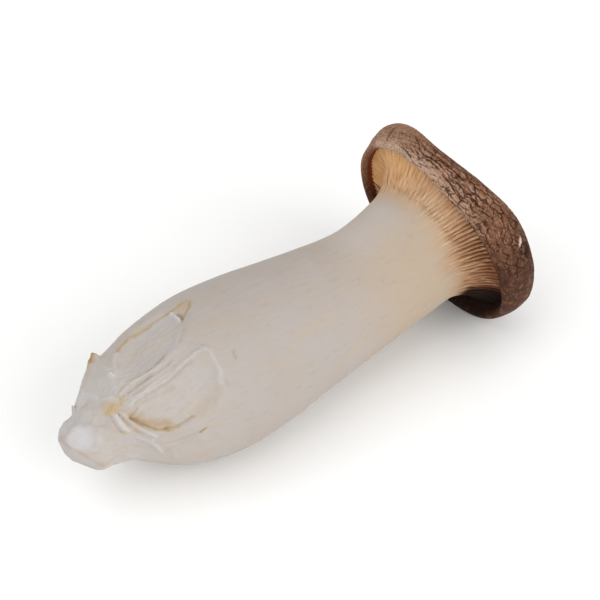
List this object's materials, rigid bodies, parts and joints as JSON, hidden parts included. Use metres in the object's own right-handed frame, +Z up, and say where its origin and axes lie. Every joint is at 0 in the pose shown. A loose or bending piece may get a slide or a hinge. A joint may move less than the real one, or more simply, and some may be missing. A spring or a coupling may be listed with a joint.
{
  "type": "king oyster mushroom",
  "caption": "Whole mushroom lying on its side: a thick swollen pale stem with torn oval scars at its base, gills that run down its neck and a small brown cap with a rolled rim.",
  "frame": {"origin": "middle of the underside of the box round the mushroom, at the height of the surface it lies on", "axes": "+X along the stem from the torn base to the cap, +Z up, the scarred side facing -Y"},
  "size_m": [0.1484, 0.0642, 0.064],
  "materials": {
    "mushroom": null
  },
  "bodies": {
    "root": {"mushroom": "mushroom"}
  },
  "joints": []
}
